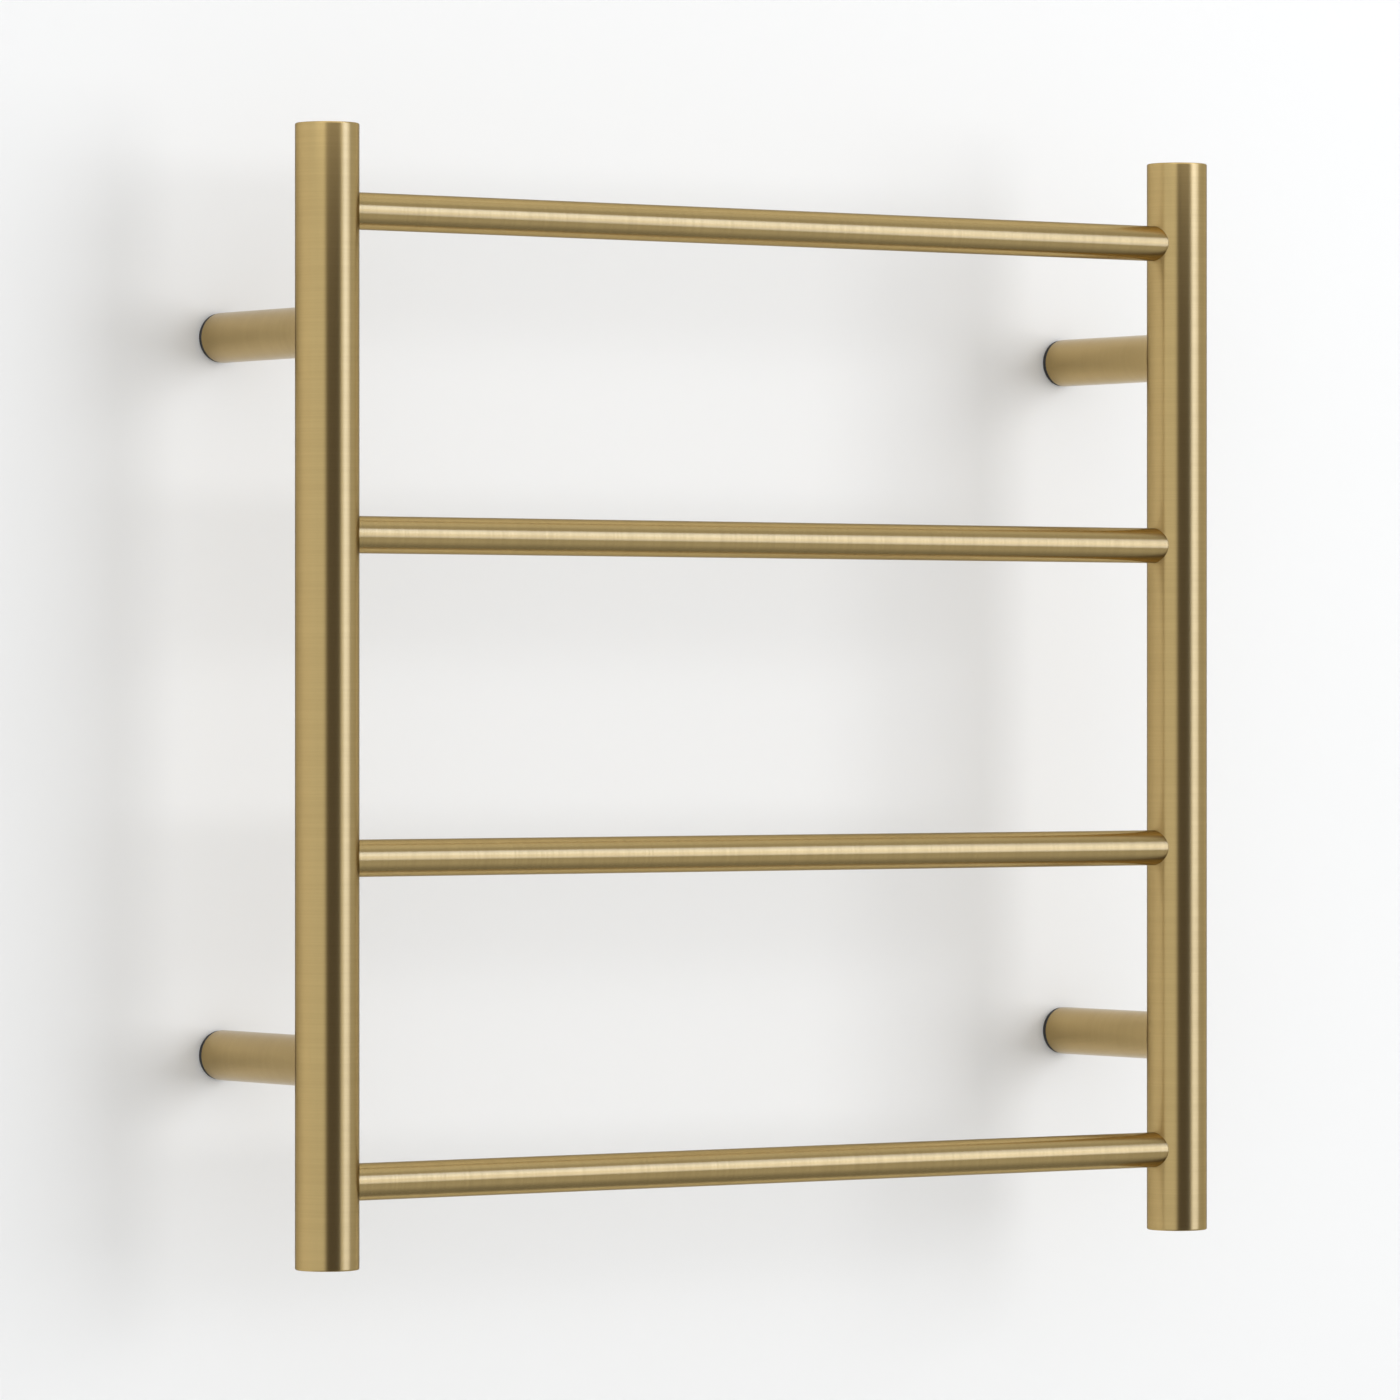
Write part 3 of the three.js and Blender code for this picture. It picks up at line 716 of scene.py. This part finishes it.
TAG_WIDTH, TAG_THICK, TAG_CORNER = 4, 0.8, 1.2
TAG_HOLE, TAG_HOLE_FROM_END = 1.1, 2.6
at = axis_line("left_lower")
front, back = run_of("earth_tag", "Y")
tab_outer = run_of("earth_tag", "X")[1] - at.x / MM
tag = washer_ring("earth_tag_blank", front, front + 1, at)
outline = [(front, -TAG_WIDTH / 2), (back - TAG_CORNER, -TAG_WIDTH / 2)]
outline += [(back - TAG_CORNER + TAG_CORNER * math.sin(math.radians(a)),
             -TAG_WIDTH / 2 + TAG_CORNER - TAG_CORNER * math.cos(math.radians(a))) for a in (22.5, 45, 67.5, 90)]
outline += [(y, -z) for y, z in reversed(outline)]
tab = lofted("tab", [[(x, y, z) for y, z in outline] for x in (tab_outer - TAG_THICK, tab_outer)], at)
carved(tag, [tab], "UNION", sharp=30)
wire_hole = turned("wire_hole", [(0, 0), (TAG_HOLE, 0), (TAG_HOLE, REACH), (0, REACH)], "X",
                   (at.x, (back - TAG_HOLE_FROM_END) * MM, at.z), around=32)
carved(tag, [wire_hole], sharp=30)
fitted(tag, "rack", ["earth_tag"], zinc)

# ---------------------------------------------------------------------------------------------------
# Lead grommet. A grey rubber ring pressed into the mouth of the lower left nipple, where the supply
# lead leaves the rack.
# ---------------------------------------------------------------------------------------------------
skin = bpy.data.node_groups.new("moulded_skin", "ShaderNodeTree")
skin.interface.new_socket("Vector", in_out="INPUT", socket_type="NodeSocketVector")
skin.interface.new_socket("Grain Scale", in_out="INPUT", socket_type="NodeSocketFloat")
skin.interface.new_socket("Tone", in_out="OUTPUT", socket_type="NodeSocketFloat")
skin.interface.new_socket("Relief", in_out="OUTPUT", socket_type="NodeSocketFloat")
given = node(skin, "NodeGroupInput", -600, 0)
drift = node(skin, "ShaderNodeMath", -400, 200, operation="MULTIPLY")
drift.inputs[1].default_value = 0.08
flow = node(skin, "ShaderNodeTexNoise", -200, 200)
flow.inputs["Detail"].default_value = 3
spark = node(skin, "ShaderNodeTexVoronoi", -200, -150, feature="SMOOTH_F1")
handed = node(skin, "NodeGroupOutput", 100, 0)
joined(skin, (given.outputs["Vector"], flow.inputs["Vector"]), (given.outputs["Vector"], spark.inputs["Vector"]),
       (given.outputs["Grain Scale"], drift.inputs[0]), (drift.outputs[0], flow.inputs["Scale"]),
       (given.outputs["Grain Scale"], spark.inputs["Scale"]), (flow.outputs[0], handed.inputs["Tone"]),
       (spark.outputs["Distance"], handed.inputs["Relief"]))


def moulded(material_name, light, deep, roughness, grain, relief):
    """A moulded plastic or rubber, with grain of this size and relief in millimetres."""
    material, tree, out = bare_material(material_name)
    plastic = node(tree, "ShaderNodeBsdfPrincipled", 300, 0)
    where = node(tree, "ShaderNodeTexCoord", -700, 0)
    surface = node(tree, "ShaderNodeGroup", -450, 0, node_tree=skin)
    surface.inputs["Grain Scale"].default_value = 1 / (grain * MM)
    tone = node(tree, "ShaderNodeMix", -100, 200, data_type="RGBA")
    tone.inputs["A"].default_value = deep
    tone.inputs["B"].default_value = light
    dull = node(tree, "ShaderNodeMapRange", -100, -50)
    dull.inputs["To Min"].default_value = roughness - 0.1
    dull.inputs["To Max"].default_value = roughness + 0.1
    grained = node(tree, "ShaderNodeBump", -100, -350)
    grained.inputs["Strength"].default_value = 0.5
    grained.inputs["Distance"].default_value = relief * MM
    joined(tree, (where.outputs["Object"], surface.inputs["Vector"]),
           (surface.outputs["Tone"], tone.inputs["Factor"]), (surface.outputs["Tone"], dull.inputs["Value"]),
           (surface.outputs["Relief"], grained.inputs["Height"]),
           (tone.outputs["Result"], plastic.inputs["Base Color"]),
           (dull.outputs[0], plastic.inputs["Roughness"]), (grained.outputs[0], plastic.inputs["Normal"]),
           (plastic.outputs[0], out.inputs[0]))
    return material


rubber = moulded("grey_rubber", (0.06, 0.06, 0.063, 1), (0.038, 0.038, 0.04, 1), 0.78, 0.25, 0.02)
GROMMET_BORE, GROMMET_NECK, GROMMET_DEPTH = 2.7, 3.45, 3.6
GROMMET_LEAD_IN, GROMMET_CHAMFER = 0.4, 0.3
front, back = run_of("lead_grommet", "Y")
rim = extent("lead_grommet").x / 2
flange = (back - front - GROMMET_DEPTH) / 2
bead = [(rim - flange + flange * math.sin(math.radians(a)), back - flange - flange * math.cos(math.radians(a)))
        for a in range(0, 181, 15)]
grommet = turned("lead_grommet_ring", [
    (GROMMET_BORE, back - flange), (GROMMET_BORE, front + GROMMET_LEAD_IN),
    (GROMMET_BORE + GROMMET_CHAMFER, front), (GROMMET_NECK - GROMMET_CHAMFER, front),
    (GROMMET_NECK, front + GROMMET_LEAD_IN), (GROMMET_NECK, back - 2 * flange), *bead,
    (GROMMET_BORE + 0.6, back), (GROMMET_BORE + 0.2, back - 0.2)],
    "Y", axis_line("left_lower"), around=96, sharp=50)
fitted(grommet, "rack", ["lead_grommet"], rubber)

# ---------------------------------------------------------------------------------------------------
# Heating cable and return cable. Red silicone over the heating wire. It leaves the splice, zigzags up
# through the four bars and comes down the left upright to the cut-out; the return cable joins the two.
# ---------------------------------------------------------------------------------------------------
CABLE_RADIUS, CABLE_BEND, CABLE_AROUND = 2.25, 9, 20


def bent(corners, bend, steps=18):
    """The route through these corners, with each one rounded to the bend."""
    route = [corners[0]]
    for before, corner, after in zip(corners, corners[1:], corners[2:]):
        back, on = (before - corner).normalized(), (after - corner).normalized()
        half = back.angle(on) / 2
        hub = corner + (back + on).normalized() * bend / math.sin(half)
        start = corner + back * bend / math.tan(half) - hub
        about = on.cross(back).normalized()
        sweep = math.pi - 2 * half
        route += [hub + Matrix.Rotation(sweep * k / steps, 3, about) @ start for k in range(steps + 1)]
    return route + [corners[-1]]


def piped(piece_name, route, radius, around):
    """A round cable along a route in millimetres, closed at both ends."""
    shape = bmesh.new()
    turns = [math.tau * k / around for k in range(around)]
    side, rows = None, []
    for i, spot in enumerate(route):
        ahead = (route[min(i + 1, len(route) - 1)] - route[max(i - 1, 0)]).normalized()
        side = ahead.orthogonal() if side is None else side - ahead * side.dot(ahead)
        side.normalize()
        up = ahead.cross(side)
        rows.append([shape.verts.new((spot + radius * (math.cos(t) * side + math.sin(t) * up)) * MM)
                     for t in turns])
    skinned(shape, rows)
    return finished(piece_name, shape, sharp=40)


silicone = moulded("red_silicone", (0.3, 0.035, 0.022, 1), (0.2, 0.022, 0.015, 1), 0.48, 0.6, 0.015)
left_x, right_x = middle("left_upright").x / MM, middle("right_upright").x / MM
rack_y = middle("left_upright").y / MM
home = middle("return_cable") / MM
splice_low, splice_high = run_of("lead_splice", "Z")
cutout_low, cutout_high = run_of("thermal_cutout", "Z")
corners = [Vector((home.x, home.y, splice_low))]
for i, bar in enumerate(reversed(BARS)):
    z = middle(bar).z / MM
    ends = [Vector((left_x, rack_y, z)), Vector((right_x, rack_y, z))]
    corners += ends if i % 2 == 0 else ends[::-1]
corners[1] = Vector((home.x, home.y, corners[1].z))
corners[-1] = Vector((home.x, home.y, corners[-1].z))
corners.append(Vector((home.x, home.y, cutout_high)))
hot = piped("heating_cable_run", bent(corners, CABLE_BEND), CABLE_RADIUS, CABLE_AROUND)
fitted(hot, "rack", ["heating_cable"], silicone)
straight = [Vector((home.x, home.y, z)) for z in (cutout_low, splice_high)]
back_run = piped("return_cable_run", straight, CABLE_RADIUS, CABLE_AROUND)
fitted(back_run, "rack", ["return_cable"], silicone)

# ---------------------------------------------------------------------------------------------------
# Thermal cut-out and lead splice. Black moulded resin sleeves over the joints in the cable, with
# tapered ends and, on the splice, two crimped bands.
# ---------------------------------------------------------------------------------------------------
SLEEVE_LIP = 0.4  # the straight rim before the taper
CRIMP_LIP, CRIMP_HALF, CRIMP_DEPTH = 1.3, 0.9, 0.35
resin = moulded("moulded_resin", (0.03, 0.032, 0.035, 1), (0.017, 0.018, 0.02, 1), 0.42, 0.5, 0.012)
for cad_joint, sleeve_name, bands in (("thermal_cutout", "thermal_cutout_body", ()),
                                      ("lead_splice", "lead_splice_sleeve", (-8, 8))):
    low, high = run_of(cad_joint, "Z")
    radius, at = extent(cad_joint).x / 2, middle(cad_joint)
    neck, taper = CABLE_RADIUS + 0.3, radius * 0.7
    half = (high - low) / 2
    swell = [(neck + (radius - neck) * (0.5 - 0.5 * math.cos(math.pi * t)), half - SLEEVE_LIP - taper * t)
             for t in between(0, 1, 8)]
    profile = [(0, -half), (neck, -half), *[(r, -z) for r, z in swell]]
    for band in bands:
        profile += [(radius, band - CRIMP_LIP), (radius - CRIMP_DEPTH, band - CRIMP_HALF),
                    (radius - CRIMP_DEPTH, band + CRIMP_HALF), (radius, band + CRIMP_LIP)]
    profile += [*reversed(swell), (neck, half), (0, half)]
    sleeve = turned(sleeve_name, profile, "Z", at, around=64, sharp=50)
    fitted(sleeve, "rack", [cad_joint], resin)

# ---------------------------------------------------------------------------------------------------
# Wall bosses. Black nylon mouldings, screwed to the wall, that the posts slide over. Each is a cup on
# a solid base, with a hole for its screw, a hole for the lead and a flat that the grub screw bears on.
# The flange at the wall shows as a dark line behind the post.
# ---------------------------------------------------------------------------------------------------
nylon = moulded("black_nylon", (0.03, 0.03, 0.031, 1), (0.019, 0.019, 0.02, 1), 0.55, 0.35, 0.02)
BOSS_BASE, BOSS_CUP, BOSS_RADIUS, BOSS_FLANGE, BOSS_NOSE, BOSS_FLAT = 16, 7, 8.5, 2, 1, 0.6
BOSS_EDGE = 0.3
SCREW_UP, LEAD_DOWN, LEAD_HOLE = 3.2, 3.9, 3
HEAD_RADIUS, HEAD_DEPTH, SHANK_RADIUS, SCREW_PLAY = 3.5, 2, 1.9, 0.15
for corner in CORNERS:
    at = axis_line(corner)
    front, back = run_of(f"{corner}_boss", "Y")
    flange_radius = extent(f"{corner}_boss").x / 2
    boss = turned(f"{corner}_wall_boss", [
        (0, -BOSS_BASE), (BOSS_CUP - BOSS_EDGE, -BOSS_BASE), (BOSS_CUP, -BOSS_BASE - BOSS_EDGE),
        (BOSS_CUP, front + BOSS_EDGE), (BOSS_CUP + BOSS_EDGE / 2, front), (BOSS_RADIUS - BOSS_NOSE, front),
        (BOSS_RADIUS, front + BOSS_NOSE), (BOSS_RADIUS, -BOSS_FLANGE),
        *rounded(flange_radius - BOSS_EDGE, -BOSS_FLANGE + BOSS_EDGE, BOSS_EDGE, -90), (flange_radius, back),
        (0, back)], "Y", at, around=96)
    screw_at, lead_at = at + Vector((0, 0, SCREW_UP * MM)), at - Vector((0, 0, LEAD_DOWN * MM))
    head, shank = HEAD_RADIUS + SCREW_PLAY, SHANK_RADIUS + SCREW_PLAY
    screw_hole = turned("screw_hole", [
        (0, -BOSS_BASE - 1), (head, -BOSS_BASE - 1), (head, -BOSS_BASE), (shank, -BOSS_BASE + HEAD_DEPTH),
        (shank, 1), (0, 1)], "Y", screw_at, around=48)
    lead_hole = turned("lead_hole", [
        (0, -BOSS_BASE - 1), (LEAD_HOLE + 0.4, -BOSS_BASE - 0.1), (LEAD_HOLE, -BOSS_BASE + 0.4), (LEAD_HOLE, 1),
        (0, 1)], "Y", lead_at, around=48)
    shaved = [(-9, -9.5), (9, -9.5), (9, BOSS_FLAT - BOSS_RADIUS), (-9, BOSS_FLAT - BOSS_RADIUS)]
    flat = lofted("flat", [[(x, y, z) for x, z in shaved] for y in (front - 1, -BOSS_FLANGE - 0.1)], at)
    carved(boss, [screw_hole, lead_hole, flat], sharp=30)
    fitted(boss, "wall_fixings", [f"{corner}_boss"], nylon)

# ---------------------------------------------------------------------------------------------------
# Wall screws. Zinc-plated countersunk wood screws with a cross recess, whose heads pull the bosses to
# the wall. All but the heads is inside the boss and the wall.
# ---------------------------------------------------------------------------------------------------
WOOD_PITCH, WOOD_DEPTH, PLAIN_SHANK, POINT_LENGTH = 1.8, 0.55, 14, 6
RECESS_ARM, RECESS_WIDTH, RECESS_DEPTH, RECESS_TAPER = 2.1, 0.55, 1.5, 0.45


def wood_thread(thread_from, taper_from, tip_at):
    """A coarse thread that dies out along the point."""
    cut = screw_thread(thread_from, tip_at - 1.5, WOOD_PITCH, WOOD_DEPTH, steepness=4)

    def groove(along, turn_share):
        return cut(along, turn_share) * min(1, max(0.05, 1 - (along - taper_from) / POINT_LENGTH))
    return groove


for corner in CORNERS:
    head_at, tip_at = run_of(f"{corner}_wall_screw", "Y")
    at = axis_line(corner) + Vector((0, 0, SCREW_UP * MM))
    thread_from, taper_from = head_at + PLAIN_SHANK, tip_at - POINT_LENGTH
    steps = round((taper_from - thread_from) / WOOD_PITCH * 10)
    profile = [(0, head_at), (HEAD_RADIUS - 0.15, head_at), (HEAD_RADIUS, head_at + 0.2),
               (SHANK_RADIUS - 0.2, head_at + HEAD_DEPTH), (SHANK_RADIUS - 0.2, thread_from - 0.4)]
    profile += [(SHANK_RADIUS, y) for y in between(thread_from, taper_from, steps)]
    profile += [(SHANK_RADIUS * (1 - 0.98 * t), taper_from + POINT_LENGTH * t) for t in between(0.03, 0.97, 30)]
    profile += [(0, tip_at)]
    screw = turned(f"{corner}_countersunk_screw", profile, "Y", at, around=40, sharp=40,
                   groove=wood_thread(thread_from, taper_from, tip_at))
    blades = []
    for arm_x, arm_z in ((RECESS_ARM, RECESS_WIDTH), (RECESS_WIDTH, RECESS_ARM)):
        blades.append(lofted("blade", [
            [(sx * arm_x * share, y, sz * arm_z * share) for sx, sz in ((-1, -1), (1, -1), (1, 1), (-1, 1))]
            for y, share in ((head_at - 0.1, 1), (head_at + RECESS_DEPTH, RECESS_TAPER))], at))
    carved(screw, blades, sharp=35)
    fitted(screw, "wall_fixings", [f"{corner}_wall_screw"], zinc)

# ---------------------------------------------------------------------------------------------------
# Grub screws. Stainless M4 set screws with a hexagon socket, in a tapped hole under each post. Their
# points stand on the flats of the bosses and hold the rack on the wall.
# ---------------------------------------------------------------------------------------------------
stainless = streaked_metal("stainless_screw", "Z", (0.6, 0.59, 0.57, 1), (0.48, 0.47, 0.455, 1), 0.3, 0.4,
                           0.15 * MM, 12 * MM)
GRUB_PITCH, GRUB_DEPTH, GRUB_POINT, GRUB_CHAMFER = 0.7, 0.38, 0.8, 0.3
SOCKET_FLATS, SOCKET_DEPTH = 2, 1.8
for corner in CORNERS:
    cad_grub = f"{corner}_grub_screw"
    low, high = run_of(cad_grub, "Z")
    radius, at = extent(cad_grub).x / 2, middle(cad_grub)
    at.z = 0
    steps = round((high - low) / GRUB_PITCH * 10)
    grub = turned(f"{corner}_set_screw", [
        (0, low), (radius - GRUB_CHAMFER, low),
        *[(radius, z) for z in between(low + GRUB_CHAMFER, high - GRUB_POINT, steps)],
        (radius - GRUB_POINT, high), (0, high)], "Z", at, around=48, sharp=40,
        groove=screw_thread(low + GRUB_CHAMFER, high - GRUB_POINT, GRUB_PITCH, GRUB_DEPTH))
    socket = lofted("socket", [hexagon(SOCKET_FLATS, "Z", z) for z in (low - 1, low + SOCKET_DEPTH)], at)
    carved(grub, [socket], sharp=35)
    fitted(grub, f"{corner}_grub", [cad_grub], stainless)
